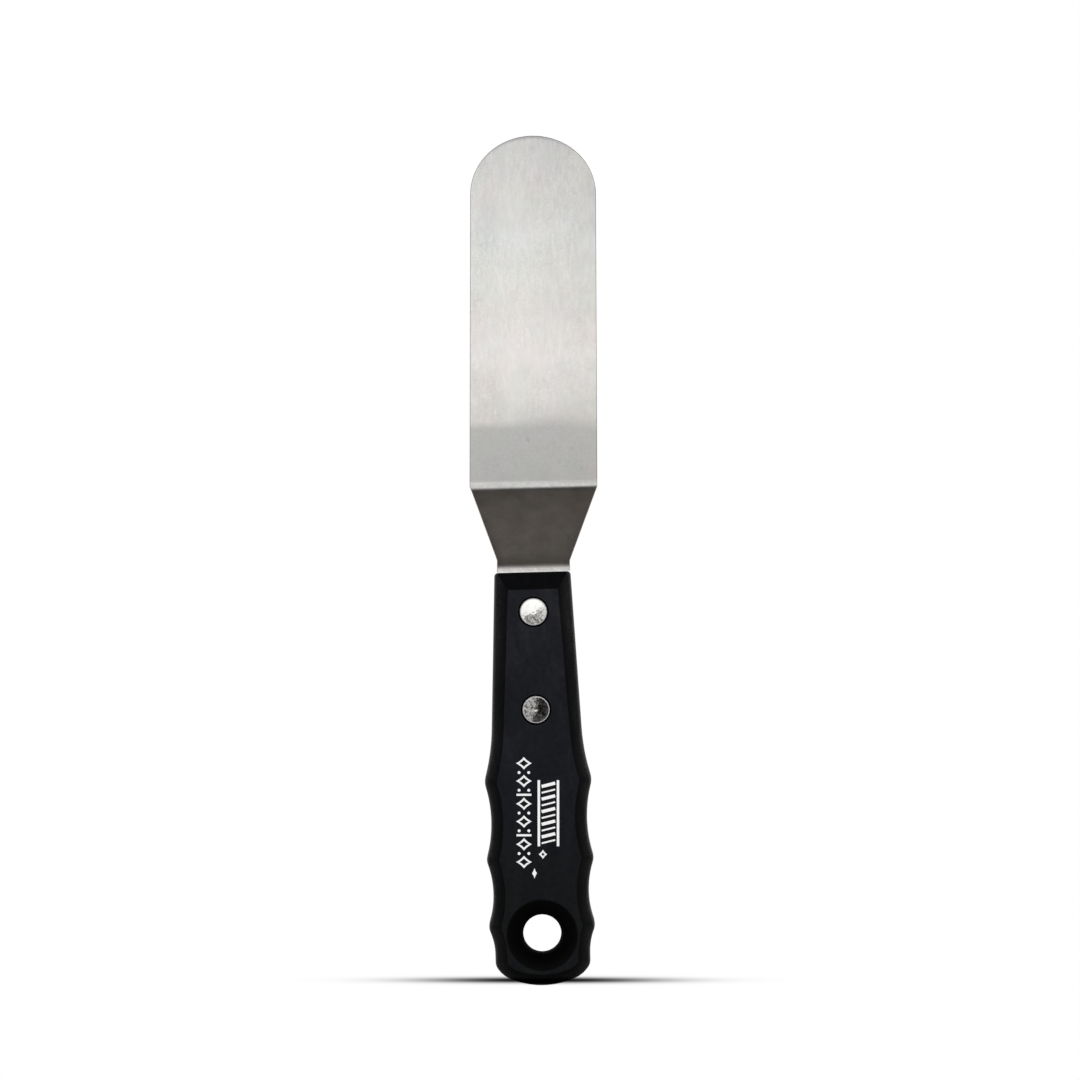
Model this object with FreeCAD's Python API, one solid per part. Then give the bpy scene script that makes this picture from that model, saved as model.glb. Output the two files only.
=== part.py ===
"""Cranked palette knife: a one-piece stainless blade, neck and tang clamped between two moulded
handle scales by two compression rivets, each a barrel half pressed onto a post half.

Millimetres. +Z runs along the knife from the butt to the blade's tip, +X is to the right and +Y
points away from the front face of the handle. The origin is the centre of the hang hole, on the
mid-plane of the tang, which is also the parting plane of the two scales.
"""

import FreeCAD
import Part

import math
import os

Vector = FreeCAD.Vector
ORIGIN = Vector(0, 0, 0)
X_AXIS = Vector(1, 0, 0)
Y_AXIS = Vector(0, 1, 0)

# ---------------------------------------------------------------- dimensions
# handle outline
MOUTH_Z = 90.2             # end face the tang leaves through
MOUTH_HALF_W = 9.50
TAPER_END = (11.22, 51.3)  # (half width, z) where the straight taper from the mouth ends
RUN_IN_R = 52.0            # hollow that leads into the first crest
CREST_R = (4.9, 3.4, 3.8)  # rounding of the three crests, from the blade down
# hollows between and below the crests: (half width, z, radius)
FINGER_HOLLOW_1 = (11.96, 28.47, 32.1)
FINGER_HOLLOW_2 = (11.91, 10.36, 23.3)
WAIST = (11.83, -4.81, 15.0)  # below the last crest, runs out into a straight side
SIDE_END_Z = -7.54         # where the straight side would meet the butt's side arc
SIDE_END_R = 3.3           # rounding of that corner
BUTT_Z = -12.78            # lowest point of the rounded butt
BUTT_R = 20.5              # middle arc of the butt
BUTT_ARC_DEG = 22.7        # half its angle

# handle thickness, bevels and soft edges
SCALE_T = 6.5              # each scale, parting plane to flat face
BEVEL = 3.00               # 45 degree bevel round the flat face
BEVEL_TOP = 3.50           # width it grows to at the mouth, along the straight taper
MOUTH_BEVEL = 4.25         # the bevel across the mouth: BEVEL deep and this long
FACE_EDGE_R = 0.4          # between flat face and bevel
SIDE_EDGE_R = 2.8          # between bevel and side wall
MOUTH_CORNER_R = 0.9

# hang hole: a short land in the middle and a flared mouth on each face
HOLE_R = 4.75
HOLE_LAND_HALF = 1.25
FLARE_FACE_R = 9.05

# tang and its pocket
STEEL_T = 1.2
TANG_HALF_W = 6.5
TANG_END_Z = 44.0
TANG_CORNER_R = 3.0
TANG_HOLE_R = 2.55
POCKET_GAP = 0.05          # over the tang's face; twice this at its sides and end

# rivets
RIVET_Z = (80.4, 56.1)     # upper, lower
RIVET_HOLE_R = 2.45
CBORE_R = 3.80
CBORE_DEPTH = 1.35         # from the flat face to the head's seat
HEAD_SEAT_Y = CBORE_DEPTH - SCALE_T
HEAD_R = 3.45
HEAD_RIM_T = 0.95          # head thickness at its rim
HEAD_CONE_H = 0.22         # shallow cone on top of the rim
HEAD_RIM_W = 0.28          # from the cone's foot to the head's side
HEAD_EDGE = 0.12           # edge break
BARREL_R = 2.40
BARREL_BORE_R = 1.60
BARREL_SHORT = 1.0         # the barrel stops this far short of the far head
BORE_CHAMFER = 0.1
BORE_FLOOR = 0.15          # the bore ends this far from its head's seat
POST_R = BARREL_BORE_R
POST_SHORT = 0.8           # the post stops this far short of the bore's end
POST_CHAMFER = 0.25

# scale coring
WALL = 2.6                 # side wall
FLOOR = 2.2                # wall behind the flat face
CORE_TOP_Z = 86.0
CORE_BOTTOM_Z = 13.2
RIB_T = 1.6
RIB_Z = (72.2, 64.6, 47.6, 41.4, 33.0, 24.5)
MID_RIB_TOP_Z = RIB_Z[3]
RIVET_BOSS_R = 5.9

# pegs on the front scale and sockets in the rear one
PEG_AT = ((0.0, 37.2), (0.0, 18.6), (8.4, -1.5), (-8.4, -1.5))  # (x, z)
PEG_R = 1.6
PEG_L = 3.2
PEG_CHAMFER = 0.3
PEG_ROOT = 1.0             # how far a peg is sunk into its boss
PEG_BOSS_R = 3.4
SOCKET_EXTRA = 0.4         # socket deeper than its peg

# neck and blade
SHOULDER_GAP = 0.1         # between the blade's shoulders and the mouth
SHOULDER_HALF_W = 9.12
BLADE_SKEW = 1.5           # degrees the neck and blade lean to +X, about the upper rivet
FACET_TILT = 10.0          # each crank has two steps: a narrow facet at this tilt (degrees)
NECK_TILT = 33.0           # and the neck at this one
SECTION_TILTS = (0.0, FACET_TILT, NECK_TILT, FACET_TILT, 0.0)
BEND_Z = (90.3, 91.6, 111.15, 112.95)  # where the mid-planes of neighbouring sections meet
BEND_R = (1.6, 2.4, 2.4, 1.6)          # mid-plane radii of those bends
NECK_SIDE_LOW = (SHOULDER_HALF_W, 93.15)  # (half width, z) where the neck starts to flare
NECK_SIDE_HIGH = (16.17, 111.8)        # and where it reaches the blade's heel
NECK_CORNER_R = 1.5
HEEL_CORNER_R = 2.2
BLADE_SHOULDER = (15.92, 186.0)        # (half width, z) where the rounded tip starts
TIP_Z = 200.75
GRIND_Z = 128.6            # the taper grind starts here
TIP_T = 0.6                # blade thickness at the tip
TIP_EDGE = 0.12            # edge break round the tip

# reach of construction shapes
OVER = 10.0                # the handle is built this far past the mouth, then cut
CLEAR = 1.0                # cutters run this far past a face
CUT_HALF_W = 30.0          # half width of cutters wider than the knife


# ---------------------------------------------------------------- helpers
def segment(start, end):
    return Part.LineSegment(start, end).toShape()


def arc(start, middle, end):
    return Part.Arc(start, middle, end).toShape()


def at_xz(point):
    return Vector(point[0], 0, point[1])


def line_xz(start, end):
    return segment(at_xz(start), at_xz(end))


def arc_about(centre, start, end):
    """The short arc in the X-Z plane about centre, from start to end."""
    reach = (start[0] + end[0] - centre[0], start[1] + end[1] - centre[1])
    middle = toward(centre, reach, math.dist(centre, start))
    return arc(at_xz(start), at_xz(middle), at_xz(end))


def toward(start, end, distance):
    """The point at the given distance from start towards end."""
    share = distance / math.dist(start, end)
    return (start[0] + (end[0] - start[0]) * share, start[1] + (end[1] - start[1]) * share)


def circles_meet(centre_1, radius_1, centre_2, radius_2):
    """Where two circles meet, to the right of the way from centre 1 to centre 2."""
    gap = math.dist(centre_1, centre_2)
    unit_x = (centre_2[0] - centre_1[0]) / gap
    unit_z = (centre_2[1] - centre_1[1]) / gap
    along = (radius_1 ** 2 - radius_2 ** 2 + gap ** 2) / (2 * gap)
    across = math.sqrt(radius_1 ** 2 - along ** 2)
    return (centre_1[0] + along * unit_x + across * unit_z,
            centre_1[1] + along * unit_z - across * unit_x)


def mirror_x(edges):
    return [edge.mirror(ORIGIN, X_AXIS) for edge in edges]


def face_within(edges):
    return Part.Face(Part.Wire(Part.__sortEdges__(edges)))


def revolve_y(face):
    return face.revolve(ORIGIN, Y_AXIS, 360)


def cylinder_y(radius, y0, y1, x, z):
    return Part.makeCylinder(radius, y1 - y0, Vector(x, y0, z), Y_AXIS)


def box(x0, x1, y0, y1, z0, z1):
    return Part.makeBox(x1 - x0, y1 - y0, z1 - z0, Vector(x0, y0, z0))


def one_solid(shape, name):
    shape = shape.removeSplitter()
    solids = shape.Solids
    if len(solids) != 1 or not solids[0].isValid():
        raise RuntimeError("%s: expected one valid solid, got %d" % (name, len(solids)))
    return solids[0]


def corner_edges(solid, corner, tolerance=0.05):
    """Edges parallel to Y that stand on the (half width, z) corner, on both sides."""
    found = []
    for edge in solid.Edges:
        if len(edge.Vertexes) != 2:
            continue
        start, end = [vertex.Point for vertex in edge.Vertexes]
        parallel = math.hypot(start.x - end.x, start.z - end.z) <= 1e-4
        if parallel and math.hypot(abs(start.x) - corner[0], start.z - corner[1]) < tolerance:
            found.append(edge)
    return found


# ---------------------------------------------------------------- handle outline
def side_pieces():
    """The right side from past the mouth down to the middle arc of the butt, as
    (start, end, centre, sign). A line has no centre; sign is +1 where an arc's centre lies
    outside the handle and -1 where it lies inside."""
    slope = (TAPER_END[0] - MOUTH_HALF_W) / (MOUTH_Z - TAPER_END[1])
    top = (MOUTH_HALF_W - slope * OVER, MOUTH_Z + OVER)
    # the run-in hollow is tangent to the taper, so its centre is on the outward normal
    normal_end = (TAPER_END[0] + top[1] - TAPER_END[1], TAPER_END[1] + TAPER_END[0] - top[0])
    hollows = [(toward(TAPER_END, normal_end, RUN_IN_R), RUN_IN_R)]
    for x, z, radius in (FINGER_HOLLOW_1, FINGER_HOLLOW_2, WAIST):
        hollows.append(((x + radius, z), radius))

    pieces = [(top, TAPER_END, None, 0)]
    start = TAPER_END
    for (upper, upper_r), (lower, lower_r), crest_r in zip(hollows, hollows[1:], CREST_R):
        crest = circles_meet(upper, upper_r + crest_r, lower, lower_r + crest_r)
        crest_start = toward(upper, crest, upper_r)
        crest_end = toward(lower, crest, lower_r)
        pieces += [(start, crest_start, upper, 1), (crest_start, crest_end, crest, -1)]
        start = crest_end
    waist = WAIST[:2]
    pieces.append((start, waist, hollows[-1][0], 1))

    # butt: a side arc tangent to the middle arc, which would meet the side at SIDE_END_Z
    angle = math.radians(BUTT_ARC_DEG)
    joint = (BUTT_R * math.sin(angle), BUTT_Z + BUTT_R * (1 - math.cos(angle)))
    normal = (-math.sin(angle), math.cos(angle))
    chord = (WAIST[0] - joint[0], SIDE_END_Z - joint[1])
    butt_r = ((chord[0] ** 2 + chord[1] ** 2)
              / (2 * (chord[0] * normal[0] + chord[1] * normal[1])))
    butt = (joint[0] + normal[0] * butt_r, joint[1] + normal[1] * butt_r)
    corner_x = WAIST[0] - SIDE_END_R
    corner_drop = math.sqrt((butt_r - SIDE_END_R) ** 2 - (corner_x - butt[0]) ** 2)
    corner = (corner_x, butt[1] - corner_drop)
    side_end = (WAIST[0], corner[1])
    corner_end = toward(butt, corner, butt_r)
    pieces += [(waist, side_end, None, 0),
               (side_end, corner_end, corner, -1),
               (corner_end, joint, butt, -1)]
    return pieces


def outline_face(inset):
    """The handle's outline moved inwards by inset. Every joint is tangent, so each line moves
    parallel and each arc keeps its centre."""
    right, ends = [], []
    for start, end, centre, sign in side_pieces():
        if centre is None:
            length = math.dist(start, end)
            shift_x = (start[1] - end[1]) / length * inset
            shift_z = (end[0] - start[0]) / length * inset
            start = (start[0] - shift_x, start[1] - shift_z)
            end = (end[0] - shift_x, end[1] - shift_z)
            right.append(line_xz(start, end))
        else:
            radius = math.dist(centre, start) + sign * inset
            start = toward(centre, start, radius)
            end = toward(centre, end, radius)
            right.append(arc_about(centre, start, end))
        ends += [start, end]
    top, joint = ends[0], ends[-1]
    butt = arc(Vector(-joint[0], 0, joint[1]), Vector(0, 0, BUTT_Z + inset), at_xz(joint))
    cap = line_xz((-top[0], top[1]), top)
    return face_within(right + mirror_x(right) + [butt, cap])


def outline_prism(y0, y1, inset=0.0):
    solid = outline_face(inset).extrude(Vector(0, y1 - y0, 0))
    solid.translate(Vector(0, y0, 0))
    return solid


# ---------------------------------------------------------------- handle envelope
def below_construction_end(edge):
    return edge.BoundBox.ZMin < MOUTH_Z + OVER - 1


def flat_face_edges(solid):
    """Edges round the flat face, without the construction's end past the mouth."""
    return [edge for edge in solid.Edges
            if all(abs(vertex.Point.y + SCALE_T) < 1e-4 for vertex in edge.Vertexes)
            and edge.BoundBox.YLength < 1e-3 and below_construction_end(edge)]


def bevel_side_edges(solid):
    """Edges between bevel and side wall, without the construction's end past the mouth."""
    y = -SCALE_T + BEVEL
    return [edge for edge in solid.Edges
            if edge.BoundBox.YMin > y - 1e-3 and edge.BoundBox.YMax < y + 1.0
            and max(edge.BoundBox.XLength, edge.BoundBox.ZLength) > 0.05
            and below_construction_end(edge)]


def mouth_corner_edges(solid):
    """The end face's edges with the side walls and with what rounds them into the bevels."""
    found = []
    for edge in solid.Edges:
        start, end = edge.Vertexes[0].Point, edge.Vertexes[-1].Point
        if (abs(start.z - MOUTH_Z) < 1e-3 and abs(end.z - MOUTH_Z) < 1e-3
                and abs(start.x - end.x) < 1e-2 and abs(abs(start.x) - MOUTH_HALF_W) < 0.2
                and abs(start.y - end.y) > 0.5):
            found.append(edge)
    return found


def mouth_bevel_edges(solid):
    """The flat face's edge with the bevel across the mouth."""
    z = MOUTH_Z - MOUTH_BEVEL
    return [edge for edge in solid.Edges
            if all(abs(vertex.Point.y + SCALE_T) < 1e-3 and abs(vertex.Point.z - z) < 1e-3
                   for vertex in edge.Vertexes)]


def fillet_if_possible(solid, radius, select_edges):
    # guards a fillet that fails or finds no edges: the edges then stay sharp
    try:
        rounded = solid.makeFillet(radius, select_edges(solid)).Solids[0]
        if rounded.isValid():
            return rounded
    except Exception:
        pass
    return solid


def taper_wedge(side):
    """What the widening of the bevel takes off one side (+1 right, -1 left): all in front of
    a plane that leaves the plain bevel at TAPER_END and is BEVEL_TOP wide at the mouth."""
    length = math.dist((MOUTH_HALF_W, MOUTH_Z), TAPER_END)
    unit_x = (MOUTH_HALF_W - TAPER_END[0]) / length
    unit_z = (MOUTH_Z - TAPER_END[1]) / length

    def on_plane(along, inset):
        rise = BEVEL + (BEVEL_TOP - BEVEL) * along / length - inset
        return Vector(side * (TAPER_END[0] + unit_x * along - unit_z * inset),
                      -SCALE_T + rise,
                      TAPER_END[1] + unit_z * along + unit_x * inset)

    low, high = -0.8, length + OVER + 3      # along the taper
    outer, inner = -1.5, 5.5                 # inset from the side wall
    corners = [on_plane(low, outer), on_plane(high, outer),
               on_plane(high, inner), on_plane(low, inner)]
    return Part.Face(Part.makePolygon(corners + corners[:1])).extrude(Vector(0, -12, 0))


def mouth_wedge():
    """All in front of the sloping plane of the bevel across the mouth."""
    front_y = -SCALE_T - BEVEL
    corners = [Vector(-CUT_HALF_W, front_y, MOUTH_Z - 2 * MOUTH_BEVEL),
               Vector(-CUT_HALF_W, -SCALE_T + 2 * BEVEL, MOUTH_Z + MOUTH_BEVEL),
               Vector(-CUT_HALF_W, front_y, MOUTH_Z + MOUTH_BEVEL)]
    face = Part.Face(Part.makePolygon(corners + corners[:1]))
    return face.extrude(Vector(2 * CUT_HALF_W, 0, 0))


def envelope():
    """The outer shape of the front scale, y from -SCALE_T to 0."""
    body = outline_prism(-SCALE_T, 0.0)
    body = body.makeChamfer(BEVEL, flat_face_edges(body)).Solids[0]
    for side in (1, -1):
        body = body.cut(taper_wedge(side))
    body = body.makeFillet(SIDE_EDGE_R, bevel_side_edges(body)).Solids[0]
    body = body.makeFillet(FACE_EDGE_R, flat_face_edges(body)).Solids[0]
    body = body.cut(box(-CUT_HALF_W, CUT_HALF_W, -SCALE_T - CLEAR, CLEAR,
                        MOUTH_Z, MOUTH_Z + OVER + CLEAR))
    body = fillet_if_possible(body, MOUTH_CORNER_R, mouth_corner_edges)
    body = body.cut(mouth_wedge())
    return fillet_if_possible(body, FACE_EDGE_R, mouth_bevel_edges)


# ---------------------------------------------------------------- handle scales
def hang_hole_cutter():
    """The hang hole with its flared mouths, as a solid of revolution about Y."""
    radial = FLARE_FACE_R - HOLE_R
    axial = SCALE_T - HOLE_LAND_HALF
    half = math.atan2(radial, axial)     # half the flare arc's angle
    flare_r = axial / math.sin(2 * half)
    land_end = Vector(HOLE_R, HOLE_LAND_HALF, 0)
    middle = Vector(HOLE_R + flare_r * (1 - math.cos(half)),
                    HOLE_LAND_HALF + flare_r * math.sin(half), 0)
    face_end = Vector(FLARE_FACE_R, SCALE_T, 0)
    # past the face the flare carries on straight, along its end tangent
    outer = face_end + Vector(math.sin(2 * half), math.cos(2 * half), 0) * CLEAR

    def opposite(point):
        return Vector(point.x, -point.y, 0)

    edges = [
        segment(Vector(0, -outer.y, 0), Vector(0, outer.y, 0)),
        segment(Vector(0, outer.y, 0), outer),
        segment(outer, face_end),
        arc(face_end, middle, land_end),
        segment(land_end, opposite(land_end)),
        arc(opposite(land_end), opposite(middle), opposite(face_end)),
        segment(opposite(face_end), opposite(outer)),
        segment(opposite(outer), Vector(0, -outer.y, 0)),
    ]
    return revolve_y(face_within(edges))


def core_cutter():
    """What is cored out from the parting plane; walls, floor, ribs and bosses stay."""
    y0, y1 = FLOOR - SCALE_T, CLEAR
    core = outline_prism(y0, y1, WALL)
    core = core.common(box(-CUT_HALF_W, CUT_HALF_W, y0, y1, CORE_BOTTOM_Z, CORE_TOP_Z))
    for z in RIB_Z:
        core = core.cut(box(-CUT_HALF_W, CUT_HALF_W, y0, y1, z - RIB_T / 2, z + RIB_T / 2))
    core = core.cut(box(-RIB_T / 2, RIB_T / 2, y0, y1, CORE_BOTTOM_Z, MID_RIB_TOP_Z))
    for z in RIVET_Z:
        core = core.cut(cylinder_y(RIVET_BOSS_R, y0, y1, 0, z))
    for x, z in PEG_AT:
        core = core.cut(cylinder_y(PEG_BOSS_R, y0, y1, x, z))
    return core


def pocket_cutter():
    """The seat for half the tang, open at the mouth."""
    half_w = TANG_HALF_W + 2 * POCKET_GAP
    end_z = TANG_END_Z - 2 * POCKET_GAP
    depth = STEEL_T / 2 + POCKET_GAP
    cutter = box(-half_w, half_w, -depth, CLEAR, end_z, MOUTH_Z + CLEAR)
    return cutter.makeFillet(TANG_CORNER_R, corner_edges(cutter, (half_w, end_z)))


def scale_body():
    """What the two scales share, as the front scale."""
    body = envelope()
    body = body.cut(core_cutter())
    body = body.cut(pocket_cutter())
    body = body.cut(hang_hole_cutter())
    for z in RIVET_Z:
        body = body.cut(cylinder_y(RIVET_HOLE_R, -SCALE_T - CLEAR, CLEAR, 0, z))
        body = body.cut(cylinder_y(CBORE_R, -SCALE_T - CLEAR, HEAD_SEAT_Y, 0, z))
    return body


def front_scale():
    body = scale_body()
    for x, z in PEG_AT:
        peg = cylinder_y(PEG_R, -PEG_ROOT, PEG_L, x, z)
        tip = [edge for edge in peg.Edges if abs(edge.CenterOfMass.y - PEG_L) < 1e-3]
        body = body.fuse(peg.makeChamfer(PEG_CHAMFER, tip))
    return one_solid(body, "front scale")


def rear_scale():
    body = scale_body().mirror(ORIGIN, Y_AXIS)
    for x, z in PEG_AT:
        body = body.cut(cylinder_y(PEG_R, -CLEAR, PEG_L + SOCKET_EXTRA, x, z))
    return one_solid(body, "rear scale")


# ---------------------------------------------------------------- blade
def bend_arc(z, y, radius, tilt_0, tilt_1, shift):
    """Start, middle and end of one bend on the surface that lies shift to +Y of the mid-plane.
    The mid-planes meet at (z, y); tilts are in radians."""
    turn = 1 if tilt_1 > tilt_0 else -1      # +1 bends towards +Y
    setback = radius * math.tan(abs(tilt_1 - tilt_0) / 2)
    centre_z = z - setback * math.cos(tilt_0) - turn * radius * math.sin(tilt_0)
    centre_y = y - setback * math.sin(tilt_0) + turn * radius * math.cos(tilt_0)
    surface_r = radius - turn * shift
    return [Vector(0, centre_y - turn * surface_r * math.cos(tilt),
                   centre_z + turn * surface_r * math.sin(tilt))
            for tilt in (tilt_0, (tilt_0 + tilt_1) / 2, tilt_1)]


def side_profile():
    """The steel in the Y-Z plane: tang, two-step cranks, neck and blade with taper grind."""
    half_t = STEEL_T / 2
    tilts = [math.radians(tilt) for tilt in SECTION_TILTS]
    bend_y = [0.0]
    for z0, z1, tilt in zip(BEND_Z, BEND_Z[1:], tilts[1:]):
        bend_y.append(bend_y[-1] + (z1 - z0) * math.tan(tilt))
    blade_y = bend_y[-1]

    def surface(side):
        """One surface from the tang's end to the tip; side +1 faces +Y, -1 faces -Y."""
        edges, last = [], Vector(0, side * half_t, TANG_END_Z)
        for bend in zip(BEND_Z, bend_y, BEND_R, tilts, tilts[1:]):
            start, middle, end = bend_arc(*bend, side * half_t)
            edges += [segment(last, start), arc(start, middle, end)]
            last = end
        grind = Vector(0, blade_y + side * half_t, GRIND_Z)
        tip = Vector(0, blade_y + side * TIP_T / 2, TIP_Z)
        return edges + [segment(last, grind), segment(grind, tip)]

    ends = [segment(Vector(0, blade_y - TIP_T / 2, TIP_Z), Vector(0, blade_y + TIP_T / 2, TIP_Z)),
            segment(Vector(0, half_t, TANG_END_Z), Vector(0, -half_t, TANG_END_Z))]
    return surface(-1) + surface(1) + ends


def plan_prism():
    """The steel's outline in the X-Z plane, extruded through its whole depth: a straight tang,
    and the leaning neck and blade beyond the mouth."""
    y0, y1 = -15, 25
    shoulder_z = MOUTH_Z + SHOULDER_GAP
    low = (SHOULDER_HALF_W, MOUTH_Z - 4.0)   # runs past the shoulders, trimmed below
    right = [line_xz(low, NECK_SIDE_LOW),
             line_xz(NECK_SIDE_LOW, NECK_SIDE_HIGH),
             line_xz(NECK_SIDE_HIGH, BLADE_SHOULDER)]
    tip_start_z = BLADE_SHOULDER[1]
    ellipse = Part.Ellipse(at_xz(BLADE_SHOULDER), Vector(0, 0, TIP_Z), Vector(0, 0, tip_start_z))
    tip = Part.ArcOfEllipse(ellipse, 0, math.pi).toShape()
    foot = line_xz((-low[0], low[1]), low)
    prism = face_within(right + mirror_x(right) + [tip, foot]).extrude(Vector(0, y1 - y0, 0))
    prism.translate(Vector(0, y0, 0))
    prism = prism.makeFillet(HEEL_CORNER_R, corner_edges(prism, NECK_SIDE_HIGH))
    prism = prism.makeFillet(NECK_CORNER_R, corner_edges(prism, NECK_SIDE_LOW))
    prism.rotate(Vector(0, 0, RIVET_Z[0]), Y_AXIS, BLADE_SKEW)
    prism = prism.common(box(-40, 40, y0, y1, shoulder_z, TIP_Z + 5))
    tang = box(-TANG_HALF_W, TANG_HALF_W, y0, y1, TANG_END_Z, shoulder_z)
    tang = tang.makeFillet(TANG_CORNER_R, corner_edges(tang, (TANG_HALF_W, TANG_END_Z)))
    return prism.fuse(tang).removeSplitter()


def blade():
    sheet = face_within(side_profile()).extrude(Vector(2 * CUT_HALF_W, 0, 0))
    sheet.translate(Vector(-CUT_HALF_W, 0, 0))
    steel = sheet.common(plan_prism())
    for z in RIVET_Z:
        steel = steel.cut(cylinder_y(TANG_HOLE_R, -5, 5, 0, z))
    steel = one_solid(steel, "blade")
    # edge break round the rounded tip, on both faces
    rim = [edge for edge in steel.Edges
           if edge.BoundBox.ZMin > BLADE_SHOULDER[1] - 1.0 and edge.BoundBox.XLength > 5]
    return one_solid(steel.makeChamfer(TIP_EDGE, rim), "blade")


# ---------------------------------------------------------------- rivets
def rivet_half(shank):
    """A rivet half about the Y axis with its head at -Y. Shank is the rest of the
    half-profile, as (radius, y) from the head's seat to the axis."""
    rim_y = HEAD_SEAT_Y - HEAD_RIM_T
    head = [(0, rim_y - HEAD_CONE_H),
            (HEAD_R - HEAD_RIM_W, rim_y),
            (HEAD_R - HEAD_EDGE, rim_y),
            (HEAD_R, rim_y + HEAD_EDGE),
            (HEAD_R, HEAD_SEAT_Y)]
    points = [Vector(radius, y, 0) for radius, y in head + shank + head[:1]]
    return revolve_y(Part.Face(Part.makePolygon(points)))


def rivet_barrel(z):
    """Front half: head with a hollow barrel."""
    end_y = -HEAD_SEAT_Y - BARREL_SHORT
    bore_end_y = HEAD_SEAT_Y + BORE_FLOOR
    barrel = rivet_half([(BARREL_R, HEAD_SEAT_Y),
                         (BARREL_R, end_y),
                         (BARREL_BORE_R + BORE_CHAMFER, end_y),
                         (BARREL_BORE_R, end_y - BORE_CHAMFER),
                         (BARREL_BORE_R, bore_end_y),
                         (0, bore_end_y)])
    barrel.translate(Vector(0, 0, z))
    return one_solid(barrel, "rivet barrel")


def rivet_post(z):
    """Rear half: head with a solid post that is pressed into the barrel."""
    end_y = -HEAD_SEAT_Y - BORE_FLOOR - POST_SHORT
    post = rivet_half([(POST_R, HEAD_SEAT_Y),
                       (POST_R, end_y - POST_CHAMFER),
                       (POST_R - POST_CHAMFER, end_y),
                       (0, end_y)])
    post = post.mirror(ORIGIN, Y_AXIS)
    post.translate(Vector(0, 0, z))
    return one_solid(post, "rivet post")


# ---------------------------------------------------------------- build
def main():
    os.makedirs("parts", exist_ok=True)
    parts = {
        "blade": blade(),
        "handle_front_scale": front_scale(),
        "handle_rear_scale": rear_scale(),
    }
    for place, z in zip(("upper", "lower"), RIVET_Z):
        parts[place + "_rivet_barrel"] = rivet_barrel(z)
        parts[place + "_rivet_post"] = rivet_post(z)
    for name, shape in parts.items():
        shape.exportStep("parts/%s.step" % name)


main()
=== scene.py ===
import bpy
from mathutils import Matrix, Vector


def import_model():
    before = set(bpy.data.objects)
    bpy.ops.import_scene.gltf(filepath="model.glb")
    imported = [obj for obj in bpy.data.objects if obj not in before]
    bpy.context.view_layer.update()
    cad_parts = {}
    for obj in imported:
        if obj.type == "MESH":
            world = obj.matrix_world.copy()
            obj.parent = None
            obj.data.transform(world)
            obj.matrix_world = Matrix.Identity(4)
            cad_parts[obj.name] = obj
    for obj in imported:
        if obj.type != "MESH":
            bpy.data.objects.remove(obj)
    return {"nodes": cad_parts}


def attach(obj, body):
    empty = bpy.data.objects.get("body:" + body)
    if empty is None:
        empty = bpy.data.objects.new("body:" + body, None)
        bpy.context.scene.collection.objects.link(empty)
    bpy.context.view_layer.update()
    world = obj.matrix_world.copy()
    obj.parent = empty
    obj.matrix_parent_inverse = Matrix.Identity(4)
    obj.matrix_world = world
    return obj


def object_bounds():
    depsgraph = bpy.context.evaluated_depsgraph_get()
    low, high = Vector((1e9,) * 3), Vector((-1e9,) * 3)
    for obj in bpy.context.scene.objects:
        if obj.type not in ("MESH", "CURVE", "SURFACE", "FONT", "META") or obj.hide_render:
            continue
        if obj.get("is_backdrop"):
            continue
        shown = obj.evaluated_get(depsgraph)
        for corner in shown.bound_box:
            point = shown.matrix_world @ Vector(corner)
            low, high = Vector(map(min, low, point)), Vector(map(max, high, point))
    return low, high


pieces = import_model()["nodes"]
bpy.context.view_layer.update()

import math
import random

import bmesh
import bpy
from mathutils import Quaternion, Vector

random.seed(7)
scene = bpy.context.scene
MM = 0.001
ROLL = math.radians(-1.57)              # turn of the camera and floor about Y
RIVET_Z = (80.4 * MM, 56.1 * MM)        # upper, lower
FACE_Y = -6.5                           # front face of the handle, mm


# ------------------------------------------------------------------ shader node helpers
class Value:
    """A node output; arithmetic on it adds math nodes to its tree."""

    def __init__(self, tree, socket):
        self.tree = tree
        self.socket = socket

    def __add__(self, other):
        return self.tree.math("ADD", self, other)

    def __radd__(self, other):
        return self.tree.math("ADD", other, self)

    def __sub__(self, other):
        return self.tree.math("SUBTRACT", self, other)

    def __rsub__(self, other):
        return self.tree.math("SUBTRACT", other, self)

    def __mul__(self, other):
        return self.tree.math("MULTIPLY", self, other)

    def __truediv__(self, other):
        return self.tree.math("DIVIDE", self, other)

    def __pow__(self, other):
        return self.tree.math("POWER", self, other)

    def __abs__(self):
        return self.tree.math("ABSOLUTE", self)


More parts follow.
